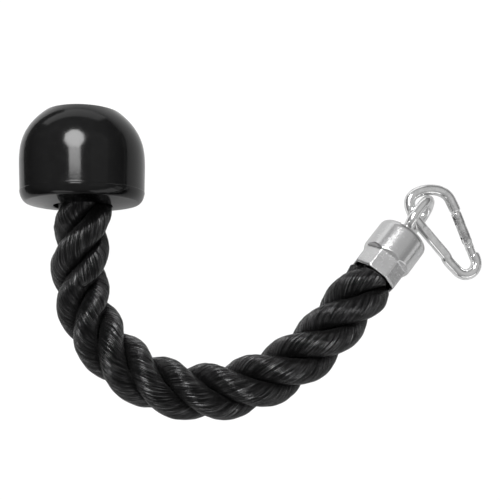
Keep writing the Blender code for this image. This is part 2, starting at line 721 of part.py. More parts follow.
def place_cap():
    """The cap's frame: its mouth at the lying rope's height, its closed end down on the surface."""
    mouth_height = ROPE_RADIUS + CAP_MOUTH_LIFT
    dip = math.asin((mouth_height - CAP_RADIUS) / (CAP_LENGTH - CAP_EDGE_RADIUS))
    place = (CAP_MOUTH_X, CAP_MOUTH_Y, mouth_height)
    return frame("cap_frame", place, lying(dip, math.radians(CAP_HEADING_DEG)))


def place_hook(eye):
    """The hook's frame at its big bow's centre.

    The bow passes through the middle of the eye's hole, next to the cap. The small bow rests on the surface.
    """
    hole_start = SEAT_GAP + 2 * EYE_WIRE_RADIUS
    seat = eye.matrix_world @ Vector((0, 0, hole_start + HOOK_WIRE_RADIUS + HOOK_PLAY))
    reach = BOW_SPACING + SMALL_BOW_RADIUS
    dip = math.asin((seat.z - HOOK_WIRE_RADIUS) / reach)
    heading = math.radians(HOOK_HEADING_DEG)
    turn = Matrix.Rotation(heading, 3, "Z") @ Matrix.Rotation(dip, 3, "Y")
    centre = seat - turn @ Vector((0, -BIG_BOW_RADIUS, 0))
    return frame("hook_frame", centre, turn)


def place_gate(hook):
    """The gate's frame on its rivet, its X axis along the gate to the nose and its Y axis inwards."""
    lean, straight = hook_sizes()
    outward = Vector((math.sin(lean), math.cos(lean), 0))
    along = Vector((math.cos(lean), -math.sin(lean), 0))
    rivet = (BIG_BOW_RADIUS - HINGE_INSET) * outward + (straight - HINGE_SETBACK) * along
    turn = math.pi - lean - math.asin(HINGE_INSET / GATE_REACH)
    return frame("gate_frame", rivet, Matrix.Rotation(turn, 3, "Z"), hook)


def main():
    clear_scene()
    ball = make_ball()
    cap = place_cap()
    make_cap(cap)
    eye_turn = Matrix.Rotation(math.radians(EYE_TURN_DEG), 3, "Z")
    eye = frame("eye_frame", (0, 0, CAP_LENGTH), eye_turn, cap)
    bpy.context.view_layer.update()
    hook = place_hook(eye)
    gate_line = place_gate(hook)
    bpy.context.view_layer.update()
    make_eye(eye)
    make_hook(hook, gate_line)
    make_gate(gate_line)
    make_rope(ball, cap)
    bpy.context.view_layer.update()
    for carrier in (ball, cap, eye, hook, gate_line):
        place = carrier.matrix_world.translation
        print(carrier.name, [round(v, 6) for v in place],
              "z", [round(v, 6) for v in carrier.matrix_world.to_3x3() @ Vector((0, 0, 1))],
              "x", [round(v, 6) for v in carrier.matrix_world.to_3x3() @ Vector((1, 0, 0))])


main()
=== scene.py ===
# %% [markdown]
# # A triceps rope attachment in the studio
# The object is a short thick rope for a cable machine. A rubber ball stops one end, and the other end is
# crimped into a steel cap that carries a swivel eye and a snap hook. The CAD model gives every solid its
# place. This lesson puts a finished surface over each one that shows, lights them, and aims a camera for one
# picture.

# %% Load the CAD frame
import math

import bpy
import numpy as np
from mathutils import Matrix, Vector


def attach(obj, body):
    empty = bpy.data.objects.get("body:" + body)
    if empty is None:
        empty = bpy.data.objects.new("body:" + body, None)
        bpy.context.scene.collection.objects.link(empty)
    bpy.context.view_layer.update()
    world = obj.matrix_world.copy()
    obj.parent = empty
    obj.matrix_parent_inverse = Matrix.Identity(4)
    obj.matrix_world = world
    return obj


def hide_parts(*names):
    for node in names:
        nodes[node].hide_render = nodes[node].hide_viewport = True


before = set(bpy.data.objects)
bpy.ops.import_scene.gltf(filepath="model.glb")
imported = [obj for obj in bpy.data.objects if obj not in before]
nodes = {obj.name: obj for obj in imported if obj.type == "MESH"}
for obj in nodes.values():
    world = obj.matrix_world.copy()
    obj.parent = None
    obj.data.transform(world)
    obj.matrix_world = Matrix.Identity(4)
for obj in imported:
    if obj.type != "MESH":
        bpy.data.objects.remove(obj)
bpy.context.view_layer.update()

# %% [markdown]
# ## Camera
# The photograph looks steeply down on the object, so the ball's flat top shows only as an edge. A camera
# at 76 degrees above the floor and 39 cm away gives the same outline. It could be aimed with a constraint,
# but a rotation that is worked out once is simpler to read and to move.

# %% Camera
CAMERA_TARGET = Vector((-0.0041, -0.02075, 0.0))
CAMERA_DISTANCE = 0.392
CAMERA_ELEVATION = math.radians(76)
FIELD_OF_VIEW = math.radians(40)

camera = bpy.data.objects.new("camera", bpy.data.cameras.new("camera"))
bpy.context.scene.collection.objects.link(camera)
camera.data.sensor_width = 36.0
camera.data.lens = camera.data.sensor_width / 2 / math.tan(FIELD_OF_VIEW / 2)
camera.data.clip_start = 0.01
to_camera = Vector((0.0, -math.cos(CAMERA_ELEVATION), math.sin(CAMERA_ELEVATION)))
camera.location = CAMERA_TARGET + CAMERA_DISTANCE * to_camera
camera.rotation_mode = "QUATERNION"
camera.rotation_quaternion = (-to_camera).to_track_quat("-Z", "Y")
bpy.context.scene.camera = camera
print("camera at, mm:", [round(v * 1000, 1) for v in camera.location])

# %% [markdown]
# ## Shells
# Nearly every part here is a tube: a closed ring of points that is carried along a line or round an axis.
# So one helper turns a grid of points into a closed shell, and another puts any number of shells into one
# mesh. The grid's faces come from index arithmetic on whole arrays.

# %% Shells from grids of points
TURN = 2 * math.pi
QUARTER = math.pi / 2


def tube_shell(grid, around=None, along=None, ring=False):
    """A closed shell from points laid out as (rows, columns, 3), each row a closed ring of columns.

    Face (row, column) joins a point to the next column and the next row. With ring, the last row joins the
    first; otherwise the first and last rows are closed by flat caps. around holds one more value than there
    are columns and along one per row: they are the shell's U and V. The faces are reversed if the volume,
    the sum of each triangle's corner . (corner x corner) / 6, comes out negative.
    """
    rows, columns = grid.shape[:2]
    corners = np.arange(rows * columns).reshape(rows, columns)
    if ring:
        corners = np.vstack([corners, corners[:1]])
    near, far = corners[:-1], corners[1:]
    quads = np.stack([near, np.roll(near, -1, 1), np.roll(far, -1, 1), far], -1).reshape(-1, 4)
    around = np.arange(columns + 1) / columns if around is None else np.asarray(around, float)
    along = np.arange(len(corners)) / (len(corners) - 1) if along is None else np.asarray(along, float)
    u_low, v_low = np.meshgrid(around[:-1], along[:-1])
    u_high, v_high = np.meshgrid(around[1:], along[1:])
    uv = np.stack([u_low, v_low, u_high, v_low, u_high, v_high, u_low, v_high], -1).reshape(-1, 4, 2)
    points = grid.reshape(-1, 3)
    caps = [] if ring else [corners[0][::-1].copy(), corners[-1].copy()]
    a, b, c, d = (points[quads[:, k]] for k in range(4))
    volume = np.einsum("ij,ij->", a, np.cross(b, c)) + np.einsum("ij,ij->", a, np.cross(c, d))
    for cap in caps:
        fan = points[cap]
        volume += np.einsum("ij,ij->", np.repeat(fan[:1], len(cap) - 2, 0), np.cross(fan[1:-1], fan[2:]))
    if volume < 0:
        quads, uv, caps = quads[:, ::-1], uv[:, ::-1], [cap[::-1] for cap in caps]
    return points, quads, uv, caps


def mesh_from(name, shells):
    """One mesh from several shells: their points are stacked, and each shell's faces count from its own."""
    starts = np.cumsum([0] + [len(shell[0]) for shell in shells])
    loops, sizes, uvs = [], [], []
    for start, (points, quads, uv, caps) in zip(starts, shells):
        loops += [quads.ravel() + start] + [cap + start for cap in caps]
        sizes += [np.full(len(quads), 4)] + [np.array([len(cap)]) for cap in caps]
        uvs += [uv.reshape(-1, 2)] + [np.zeros((len(cap), 2)) for cap in caps]
    loops, sizes, uvs = np.concatenate(loops), np.concatenate(sizes), np.concatenate(uvs)
    points = np.concatenate([shell[0] for shell in shells])
    mesh = bpy.data.meshes.new(name)
    mesh.vertices.add(len(points))
    mesh.vertices.foreach_set("co", points.astype(np.float32).ravel())
    mesh.loops.add(len(loops))
    mesh.loops.foreach_set("vertex_index", loops.astype(np.int32))
    mesh.polygons.add(len(sizes))
    mesh.polygons.foreach_set("loop_start", (np.cumsum(sizes) - sizes).astype(np.int32))
    mesh.uv_layers.new(name="surface").uv.foreach_set("vector", uvs.astype(np.float32).ravel())
    mesh.update(calc_edges=True)
    mesh.validate()
    return mesh


# %% [markdown]
# A finished piece is a mesh with smooth shading, creased where its faces meet at more than 35 degrees. It
# takes a finish, rides on a CAD body, and hides the plain CAD solids that it stands for.

# %% Pieces from shells
CREASE = math.radians(35)


def add_piece(name, shells, finish, body, stands_for, crease=CREASE):
    mesh = mesh_from(name, shells)
    mesh.shade_smooth()
    mesh.set_sharp_from_angle(angle=crease)
    mesh.materials.append(finish)
    piece = bpy.data.objects.new(name, mesh)
    bpy.context.scene.collection.objects.link(piece)
    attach(piece, body)
    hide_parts(*stands_for)
    triangles = sum(len(polygon.vertices) - 2 for polygon in mesh.polygons)
    print(f"{name}: {triangles} triangles, {[round(v * 1000, 1) for v in piece.dimensions]} mm")
    return piece


# %% [markdown]
# The parts lie at odd angles, so each group is drawn in axes of its own and then seated in the world.

# %% Seats for the groups
def unit(vectors):
    """Each vector divided by its own length."""
    return vectors / np.linalg.norm(vectors, axis=-1, keepdims=True)


class Seat:
    """Where a group of pieces sits: world point = origin + x * X axis + y * Y axis + z * Z axis."""

    def __init__(self, origin, z_axis, x_axis):
        self.origin = np.array(origin, float)
        self.z_axis = unit(np.array(z_axis, float))
        self.y_axis = unit(np.cross(self.z_axis, x_axis))
        self.x_axis = np.cross(self.y_axis, self.z_axis)

    def __call__(self, x, y, z):
        x, y, z = np.broadcast_arrays(x, y, z)
        return (self.origin + x[..., None] * self.x_axis + y[..., None] * self.y_axis
                + z[..., None] * self.z_axis)


ball_seat = Seat((-0.0929, -0.00305, 0.031555), (-0.0220, 0.9885, 0.1495), (0.99975, 0.02225, 0.0))
cap_seat = Seat((0.0622, -0.03965, 0.0158), (0.62146, 0.781282, -0.058182), (0.782608, -0.622515, 0.0))
eye_seat = Seat((0.081465, -0.01543, 0.013996), cap_seat.z_axis, (0.759001, -0.582001, 0.291876))
hook_seat = Seat((0.098052, -0.000552, 0.013356), (0.133574, -0.207267, 0.969122),
                 (0.524981, -0.814612, -0.24658))
gate_seat = Seat((0.117826, -0.01741, 0.007026), hook_seat.z_axis, (-0.371921, 0.895928, 0.242875))

# %% [markdown]
# ## A language for finishes
# A material is a small program. Here a value on its way through the nodes is a Python object, so `1 - mask`
# or `noise * 0.2 + 0.3` adds the Math nodes that it needs. Colours have their own Mix node, because a Math
# node would turn them grey.

# %% Values and recipes
class Flow:
    """One socket's value. An arithmetic sign adds a Math node and gives its result."""

    def __init__(self, recipe, socket):
        self.recipe, self.socket = recipe, socket

    def math(self, operation, *values):
        return self.recipe.node("ShaderNodeMath", {"operation": operation}, dict(enumerate(values)))

    def __add__(self, other):
        return self.math("ADD", self, other)

    def __sub__(self, other):
        return self.math("SUBTRACT", self, other)

    def __rsub__(self, other):
        return self.math("SUBTRACT", other, self)

    def __mul__(self, other):
        return self.math("MULTIPLY", self, other)

    def __truediv__(self, other):
        return self.math("DIVIDE", self, other)

    def __rtruediv__(self, other):
        return self.math("DIVIDE", other, self)

    def __pow__(self, other):
        return self.math("POWER", self, other)

    __radd__ = __add__
    __rmul__ = __mul__


class Recipe:
    """A finish in the making: a Principled shader and the nodes that lead to it."""

    def __init__(self, name, **constants):
        self.material = bpy.data.materials.new(name)
        self.material.use_nodes = True
        self.tree = self.material.node_tree
        self.shader = self.tree.nodes["Principled BSDF"]
        self.feed(**constants)

    def node(self, kind, settings=None, values=None, out=0):
        """Adds a node, sets its settings first, and then links or sets its sockets. Gives one output."""
        made = self.tree.nodes.new(kind)
        for setting, value in (settings or {}).items():
            if setting == "stops":
                ramp = made.color_ramp.elements
                while len(ramp) < len(value):
                    ramp.new(1.0)
                for stop, (place, grey) in zip(ramp, value):
                    stop.position, stop.color = place, (grey, grey, grey, 1.0)
            else:
                setattr(made, setting, value)
        for key, value in (values or {}).items():
            if isinstance(value, Flow):
                self.tree.links.new(value.socket, made.inputs[key])
            else:
                made.inputs[key].default_value = value
        return Flow(self, made.outputs[out])

    def feed(self, **values):
        """Sets or links the shader's sockets, named in lower case with _ for a space."""
        sockets = {socket.name.lower().replace(" ", "_"): socket for socket in self.shader.inputs}
        for name, value in values.items():
            if isinstance(value, Flow):
                self.tree.links.new(value.socket, sockets[name])
            elif name == "base_color":
                sockets[name].default_value = (*value, 1.0)
            else:
                sockets[name].default_value = value

    def mix(self, share, first, second):
        """A colour between two others."""
        colours = {0: share, 6: (*first, 1.0), 7: (*second, 1.0)}
        return self.node("ShaderNodeMix", {"data_type": "RGBA"}, colours, out=2)

    def place(self):
        """The point on the object, in metres."""
        return self.node("ShaderNodeTexCoord", out="Object")

    def surface(self):
        """The piece's own U and V, as two values."""
        uv_map = self.node("ShaderNodeUVMap", {"uv_map": "surface"})
        split = self.node("ShaderNodeSeparateXYZ", values={0: uv_map})
        return split, Flow(self, split.socket.node.outputs[1])

    def point(self, x, y, z=0.0):
        return self.node("ShaderNodeCombineXYZ", values={0: x, 1: y, 2: z})

    def noise(self, at, scale, detail=2.0, roughness=0.5):
        return self.node("ShaderNodeTexNoise", values={"Vector": at, "Scale": scale, "Detail": detail,
                                                       "Roughness": roughness})

    def ramp(self, value, *stops):
        """A value read off a ramp of (position, grey) stops."""
        return self.node("ShaderNodeValToRGB", {"stops": stops}, {0: value})

    def bump(self, height, depth, strength=1.0):
        """A normal tilted by a height from 0 to 1 that stands for a depth in metres."""
        return self.node("ShaderNodeBump", values={"Strength": strength, "Distance": depth, "Height": height})

    def show(self, shader):
        """The material with another shader in the Principled one's place."""
        self.tree.links.new(shader.socket, self.tree.nodes["Material Output"].inputs[0])
        return self.material


# %% [markdown]
# ## The rope's line
# The rope leaves the ball, bends down to the floor and lies there in a wide U up to the cap. A rope this
# thick hardly sags, so its line is a smooth curve through a dozen points, the same ones that the CAD tube
# follows. A Catmull-Rom curve passes through all of them and needs no handles.

# %% The rope's centreline
ROPE_RADIUS = 0.0150
ROPE_LEAD = 0.0100
ROPE_START = np.array((-0.09285, -0.00512, 0.03124))
ROPE_END = np.array((0.06201, -0.03988, 0.01582))
ROPE_ROUTE = np.array([
    (-0.0942, -0.0277, 0.0264), (-0.0951, -0.0447, 0.0185), (-0.0897, -0.0622, 0.0152),
    (-0.0795, -0.0777, 0.0150), (-0.0655, -0.0899, 0.0150), (-0.0503, -0.0974, 0.0150),
    (-0.0323, -0.1007, 0.0150), (-0.0139, -0.0995, 0.0150), (0.0042, -0.0936, 0.0150),
    (0.0198, -0.0849, 0.0150), (0.0338, -0.0736, 0.0150), (0.0465, -0.0593, 0.0154)])
INTO_BALL = 0.0120
INTO_CAP = 0.0080


def smooth_through(points, leave, arrive, samples=40):
    """A Catmull-Rom curve: each span from P1 to P2, with P0 before and P3 after it, is half of
    2 P1 + (P2 - P0) t + (2 P0 - 5 P1 + 4 P2 - P3) t^2 + (3 P1 - P0 - 3 P2 + P3) t^3."""
    first = points[1] - 2 * np.linalg.norm(points[1] - points[0]) * leave
    last = points[-2] + 2 * np.linalg.norm(points[-1] - points[-2]) * arrive
    padded = np.vstack([first, points, last])
    before, start, end, after = (padded[k:len(padded) - 3 + k, None] for k in range(4))
    t = (np.arange(samples) / samples)[None, :, None]
    curve = 0.5 * (2 * start + (end - before) * t + (2 * before - 5 * start + 4 * end - after) * t ** 2
                   + (3 * start - before - 3 * end + after) * t ** 3)
    return np.vstack([curve.reshape(-1, 3), points[-1]])


def run_along(points):
    """The distance travelled at each point of a line."""
    steps = np.linalg.norm(np.diff(points, axis=0), axis=1)
    return np.concatenate([[0.0], np.cumsum(steps)])


def sample_line(points, distances):
    """The points at given distances along a line, by linear steps between its own."""
    run = run_along(points)
    return np.stack([np.interp(distances, run, points[:, k]) for k in range(3)], -1)


bend = smooth_through(np.vstack([ROPE_START - ROPE_LEAD * ball_seat.z_axis, ROPE_ROUTE,
                                 ROPE_END - ROPE_LEAD * cap_seat.z_axis]), -ball_seat.z_axis, cap_seat.z_axis)
free_line = np.vstack([ROPE_START, bend, ROPE_END])
ROPE_LENGTH = run_along(free_line)[-1]
whole_line = np.vstack([ROPE_START + INTO_BALL * ball_seat.z_axis, free_line,
                        ROPE_END + INTO_CAP * cap_seat.z_axis])
print(f"free rope {ROPE_LENGTH * 1000:.1f} mm, drawn {run_along(whole_line)[-1] * 1000:.1f} mm")

# %% [markdown]
# ## Three strands of nylon
# The rope is laid from three strands that wind round its line, one turn in about seven centimetres. Each
# strand is itself twisted the other way from 27 yarns, so that the yarns cross the strand at a steep angle.
# A curve with a bevel could draw the strands, but not their yarns, so each strand is a grid: one row about
# every millimetre, closer together at the cap, and four columns for each yarn.
#
# Laid rope is pressed together: a strand is an oval cut off by its two neighbours. The cut is a softened
# smallest of the oval's radius and the distance to the neighbour's plane.

# %% The strands' cross-section
STRAND_COUNT = 3
STRAND_OFFSET = 0.0073
STRAND_HALF_DEPTH = 0.0077
STRAND_HALF_WIDTH = 0.0084
STRAND_GAP = 0.0003
STRAND_CORNER_POWER = 9
LEAST_LEAN = 0.05


def softest(first, second, power):
    """The smaller of two lengths, rounded where they cross: (first^-p + second^-p)^(-1/p)."""
    return (first ** -power + second ** -power) ** (-1 / power)


def smooth_step(value, start, end):
    """0 before start, 1 after end, and 3 t^2 - 2 t^3 between."""
    t = np.clip((value - start) / (end - start), 0, 1)
    return t * t * (3 - 2 * t)


def strand_reach(angle):
    """How far a strand's skin lies from its centre, at an angle from straight outwards.

    The oval's radius is 1 / sqrt((cos a / depth)^2 + (sin a / width)^2). A neighbour's plane stands at 150
    degrees to either side, at distance / cos(a - 150 degrees).
    """
    oval = 1 / np.hypot(np.cos(angle) / STRAND_HALF_DEPTH, np.sin(angle) / STRAND_HALF_WIDTH)
    plane = STRAND_OFFSET * math.sin(math.pi / STRAND_COUNT) - STRAND_GAP / 2
    facing = np.abs((angle + math.pi) % TURN - math.pi)
    lean = np.cos(facing - (QUARTER + math.pi / STRAND_COUNT))
    return softest(oval, plane / np.maximum(lean, LEAST_LEAN), STRAND_CORNER_POWER)


# %% The rope's rows and turning axes
# Each squeeze: the share of its size that the rope loses, and its start and end from the cap's mouth.
SQUEEZES = [(0.08, -0.0120, -0.0015), (0.22, -0.0014, 0.0006)]
ROW_STEP = 0.00095
FINE_ROW_STEP = 0.0005
FINE_ROWS_START = 0.0040
ROPE_LAY = 0.0700
ROPE_PHASE = math.radians(40)
ROPE_START_LAG = math.radians(32)
LAG_LENGTH = 0.0900
LAG_MOST = 1.15

fine_start = ROPE_LENGTH - FINE_ROWS_START
rows = np.concatenate([np.arange(-INTO_BALL, fine_start, ROW_STEP),
                       np.arange(fine_start, ROPE_LENGTH + INTO_CAP, FINE_ROW_STEP)])
line = sample_line(whole_line, rows + INTO_BALL)
tangent = unit(np.gradient(line, rows, axis=0))
side = unit(np.cross(tangent, (0.0, 0.0, 1.0)))
top = np.cross(side, tangent)
squeeze = 1 - sum(share * smooth_step(rows, ROPE_LENGTH + start, ROPE_LENGTH + end)
                  for share, start, end in SQUEEZES)
lag = ROPE_START_LAG * np.clip(1 - rows / LAG_LENGTH, 0, LAG_MOST) ** 2
lay_angle = ROPE_PHASE + TURN * rows / ROPE_LAY - lag
print(f"{len(rows)} rows, narrowest {squeeze.min() * ROPE_RADIUS * 2000:.1f} mm across")


# %% One strand's grid
YARNS = 27
COLUMNS_PER_YARN = 4
YARN_TURNS = 2.0
YARN_RELIEF = 0.00010
YARN_GIRTHS = (0.6, 1.5)
YARN_WANDER = 0.00012
YARN_WAVES = (0.018, 0.046)
YARN_SEED = 11


def strand_grid(number):
    """Strand centre = line + offset * (cos A * top + sin A * side), with A the lay angle at that row.
    Skin point = centre + reach(a) * (cos a * outwards + sin a * sideways). The columns turn back as the
    strand winds on. Each yarn is rounded by relief * (sqrt(1 - (2 f - 1)^2) - 1), f across the yarn, and
    rises and sinks by wander * sin(2 pi * run / wave + start), with its own wave and start."""
    chance = np.random.default_rng(YARN_SEED + number)
    wave, start = chance.uniform(*YARN_WAVES, YARNS), chance.uniform(0, TURN, YARNS)
    swell = YARN_WANDER * np.sin(TURN * rows[:, None] / wave + start)
    girth = chance.uniform(*YARN_GIRTHS, YARNS)
    columns = YARNS * COLUMNS_PER_YARN
    turn = lay_angle + TURN * number / STRAND_COUNT
    outwards = np.cos(turn)[:, None] * top + np.sin(turn)[:, None] * side
    sideways = np.cos(turn)[:, None] * side - np.sin(turn)[:, None] * top
    angle = TURN * np.arange(columns)[None, :] / columns - YARN_TURNS * (lay_angle - ROPE_PHASE)[:, None]
    across = (np.arange(columns) % COLUMNS_PER_YARN) / COLUMNS_PER_YARN
    relief = YARN_RELIEF * np.repeat(girth, COLUMNS_PER_YARN) * (np.sqrt(1 - (2 * across - 1) ** 2) - 1)
    reach = (strand_reach(angle) + relief + np.repeat(swell, COLUMNS_PER_YARN, axis=1)) * squeeze[:, None]
    return (line[:, None] + STRAND_OFFSET * (squeeze[:, None] * outwards)[:, None]
            + (reach * np.cos(angle))[..., None] * outwards[:, None]
            + (reach * np.sin(angle))[..., None] * sideways[:, None])


# %% [markdown]
# ## The nylon's finish
# Each yarn is a bundle of shiny black filaments. All that shows of them is what they mirror, and each one
# mirrors another amount, so the finish is a metal whose dark colour changes from filament to filament. Plain
# black with a gloss coat would mirror the same everywhere. U counts yarns, and V is the distance along the
# rope in millimetres: the whole number in a multiple of U picks a filament, and its streaks run along V. The
# colour also falls to its darkest at each filament's edges: painted shade in the grooves between filaments.
# A trace of sheen stands for the fuzz.

# %% Nylon
FILAMENTS_PER_YARN = 2.5
NYLON_DARK = (0.0035, 0.0035, 0.0036)
NYLON_BRIGHT = (0.172, 0.172, 0.174)


def nylon():
    recipe = Recipe("black_nylon", metallic=1.0, sheen_weight=0.028, sheen_roughness=0.6)
    u, v = recipe.surface()
    drift = recipe.noise(recipe.point(u * 0.9, v * 0.09, 3), 1.0, 1.0)
    filament = (u + drift * 0.4) * FILAMENTS_PER_YARN
    number = filament.math("FLOOR", filament)
    across = filament - number
    crown = 1 - (across * 2 - 1) ** 2
    streaks = recipe.noise(recipe.point(number * 7.3, v * 0.07, 5), 1.0, 1.0)
    strays = recipe.noise(recipe.point(u * 9, v * 0.22, 1), 1.0, 3.0, 0.65)
    light = recipe.ramp(streaks * 0.55 + strays * 0.45, (0.46, 0.04), (0.67, 1.0))
    # The colour is multiplied by crown, 1 on a filament's middle and 0 at its edges: painted shade in the
    # grooves between filaments.
    recipe.feed(base_color=recipe.mix(crown * light, NYLON_DARK, NYLON_BRIGHT),
                roughness=0.24 - 0.06 * light,
                normal=recipe.bump(crown * 0.85 + strays * 0.15, 0.00030))
    return recipe.material


# %% The rope
strand_uv = np.arange(YARNS * COLUMNS_PER_YARN + 1) / COLUMNS_PER_YARN
rope = add_piece("three_strand_rope",
                 [tube_shell(strand_grid(number), strand_uv + number * YARNS, rows * 1000)
                  for number in range(STRAND_COUNT)],
                 nylon(), "rope_and_ends", ("rope", "rope_ball_end", "rope_cap_end"),
                 crease=math.radians(60))

# %% [markdown]
# ## Profiles with rounded corners
# The ball, its plug and the cap's end are turned shapes. Their corners are rounded in the profile itself,
# because a small true radius catches a highlight that a sharp edge can't.

# %% Rounded profiles and turned shells
def rounded(corners, radii, steps=6):
    """A closed profile with each corner cut back by its radius and bridged by the curve
    (1 - t)^2 * before + 2 t (1 - t) * corner + t^2 * after."""
    corners, radii = np.asarray(corners, float), np.asarray(radii, float)
    to_last, to_next = np.roll(corners, 1, 0) - corners, np.roll(corners, -1, 0) - corners
    before = corners + unit(to_last) * radii[:, None]
    after = corners + unit(to_next) * radii[:, None]
    t = np.linspace(0, 1, steps)[None, :, None]
    curve = (1 - t) ** 2 * before[:, None] + 2 * t * (1 - t) * corners[:, None] + t ** 2 * after[:, None]
    return curve.reshape(-1, 2)


def turned_grid(seat, radius, height, columns):
    """Ring points: (radius cos a, radius sin a, height), with a round the seat's Z axis."""
    angle = TURN * np.arange(columns)[None, :] / columns
    return seat(radius[:, None] * np.cos(angle), radius[:, None] * np.sin(angle), height[:, None])


def turned_shell(seat, profile, columns):
    """A closed profile of (radius, height) points, turned once round the seat's Z axis."""
    return tube_shell(turned_grid(seat, profile[:, 0], profile[:, 1], columns), ring=True)


# %% [markdown]
# ## Black rubber
# The ball is moulded rubber with a gloss skin. It is almost black, and what one sees is the studio in it.
# A faint orange peel and some rubbed patches keep those reflections from looking like glass.

# %% Rubber and plastic
def rubber():
    recipe = Recipe("black_rubber", specular_ior_level=0.32)
    at = recipe.place()
    cloud = recipe.noise(at, 60, 3.0)
    peel = recipe.noise(at, 700, 2.0)
    rub = recipe.ramp(recipe.noise(at, 190, 4.0, 0.65), (0.45, 0.0), (0.8, 1.0))
    recipe.feed(base_color=recipe.mix(rub, (0.0020, 0.0020, 0.0021), (0.0040, 0.0040, 0.0041)),
                roughness=0.10 + 0.06 * cloud + 0.05 * rub,
                normal=recipe.bump(peel * 0.5 + cloud * 0.5, 0.00006, 0.35))
    return recipe.material


def plastic():
    recipe = Recipe("black_plastic", specular_ior_level=0.45)
    at = recipe.place()
    grain = recipe.noise(at, 2200, 2.0)
    cloud = recipe.noise(at, 120, 3.0)
    recipe.feed(base_color=recipe.mix(cloud, (0.010, 0.010, 0.0105), (0.017, 0.017, 0.0175)),
                roughness=0.36 + 0.14 * cloud, normal=recipe.bump(grain, 0.00005, 0.5))
    return recipe.material


# %% [markdown]
# The ball's outline was read off the photograph: a lower rim that is a quarter of an oval, a thin bead where
# the mould parted, a side that widens a little, and a dome that falls off to a flat top. A point a
# millimetre over the bead keeps the bead's rounding out of the side's shading.

# %% The ball's profile
BALL_RADIUS = 0.0327
BALL_LOW_RADIUS = 0.0323
BALL_HEIGHT = 0.0482
BALL_TOP_RADIUS = 0.0200
BALL_SIDE_HEIGHT = 0.0200
BALL_RIM_RADIUS = 0.0292
BALL_RIM_HEIGHT = 0.0052
BALL_UNDERSIDE_DROP = 0.0018
BEAD = 0.00016
BEAD_HALF = 0.0003
SIDE_FOOT = (0.00003, 0.0016)
RIM_POWER = 1.25
BALL_DOME_POWER = 2.75
BALL_BORE_RADIUS = 0.0153
BALL_SHOULDER_HEIGHT = 0.0199
BALL_CAVITY_RADIUS = 0.0193
BALL_CAVITY_TOP = 0.0404
PLUG_RADIUS = 0.0160
PLUG_HOLE_RADIUS = 0.0163
PLUG_TOP = 0.0477
PLUG_BOTTOM = 0.0407
PLUG_MIDDLE = 0.0004
PLUG_DISH_RADIUS = 0.0110
PLUG_DISH_DEPTH = 0.0006

dome = np.linspace(0, 1, 40)[1:-1]
rim = np.linspace(0, QUARTER, 12)[1:-1]
skin = [(BALL_BORE_RADIUS, -BALL_UNDERSIDE_DROP), (BALL_RIM_RADIUS, 0.0)]
skin += list(zip(BALL_RIM_RADIUS + (BALL_LOW_RADIUS - BALL_RIM_RADIUS) * np.sin(rim) ** RIM_POWER,
                 BALL_RIM_HEIGHT * (1 - np.cos(rim) ** RIM_POWER)))
skin += [(BALL_LOW_RADIUS, BALL_RIM_HEIGHT), (BALL_LOW_RADIUS + BEAD, BALL_RIM_HEIGHT + BEAD_HALF),
         (BALL_LOW_RADIUS, BALL_RIM_HEIGHT + 2 * BEAD_HALF),
         (BALL_LOW_RADIUS + SIDE_FOOT[0], BALL_RIM_HEIGHT + SIDE_FOOT[1]), (BALL_RADIUS, BALL_SIDE_HEIGHT)]
skin += list(zip(BALL_RADIUS - (BALL_RADIUS - BALL_TOP_RADIUS) * dome ** BALL_DOME_POWER,
                 BALL_SIDE_HEIGHT + dome * (BALL_HEIGHT - BALL_SIDE_HEIGHT)))
skin += [(BALL_TOP_RADIUS, BALL_HEIGHT), (PLUG_HOLE_RADIUS, BALL_HEIGHT), (PLUG_HOLE_RADIUS, BALL_CAVITY_TOP),
         (BALL_CAVITY_RADIUS, BALL_CAVITY_TOP), (BALL_CAVITY_RADIUS, BALL_SHOULDER_HEIGHT),
         (BALL_BORE_RADIUS, BALL_SHOULDER_HEIGHT)]
edge_radii = [0.0010, 0.0003] + [0.0001] * (len(rim) + 4) + [0.0003] + [0.0002] * len(dome)
edge_radii += [0.0007, 0.0005] + [0.0004] * 4
ball_profile = rounded(skin, edge_radii)
print(f"ball profile of {len(ball_profile)} points")

# %% The ball and its plug
add_piece("rubber_ball", [turned_shell(ball_seat, ball_profile, 192)],
          rubber(), "rope_and_ends", ("ball_stopper",), crease=math.radians(50))
plug_profile = rounded([(PLUG_MIDDLE, PLUG_BOTTOM), (PLUG_RADIUS, PLUG_BOTTOM), (PLUG_RADIUS, PLUG_TOP),
                        (PLUG_DISH_RADIUS, PLUG_TOP),
                        (PLUG_DISH_RADIUS - PLUG_DISH_DEPTH, PLUG_TOP - PLUG_DISH_DEPTH),
                        (PLUG_MIDDLE, PLUG_TOP - PLUG_DISH_DEPTH)],
                       [0.0001, 0.0008, 0.0008, 0.0003, 0.0003, 0.0001])
add_piece("ball_end_plug", [turned_shell(ball_seat, plug_profile, 96)],
          plastic(), "rope_and_ends", ("ball_plug",))

# %% [markdown]
# ## Steel
# The cap is turned steel with a satin finish: fine marks run round it, and the crimping tool left bright
# flats. The eye and the hook are nickel bright. Metals have no colour of their own here, so it is the
# roughness and a shallow bump that tell them apart.

# %% Steel finishes
def satin_steel():
    recipe = Recipe("satin_steel", metallic=1.0)
    u, v = recipe.surface()
    at = recipe.place()
    rings = recipe.noise(recipe.point(v, u * 2), 2.6, 3.0, 0.7)
    cloud = recipe.noise(at, 150, 3.0)
    wear = recipe.ramp(recipe.noise(at, 420, 5.0, 0.7), (0.5, 0.0), (0.75, 1.0))
    recipe.feed(base_color=recipe.mix(rings * 0.5 + cloud * 0.5, (0.62, 0.62, 0.625), (0.77, 0.77, 0.77)),
                roughness=0.20 + 0.08 * rings + 0.06 * wear,
                normal=recipe.bump(rings * 0.8 + cloud * 0.2, 0.00005, 0.50))
    return recipe.material


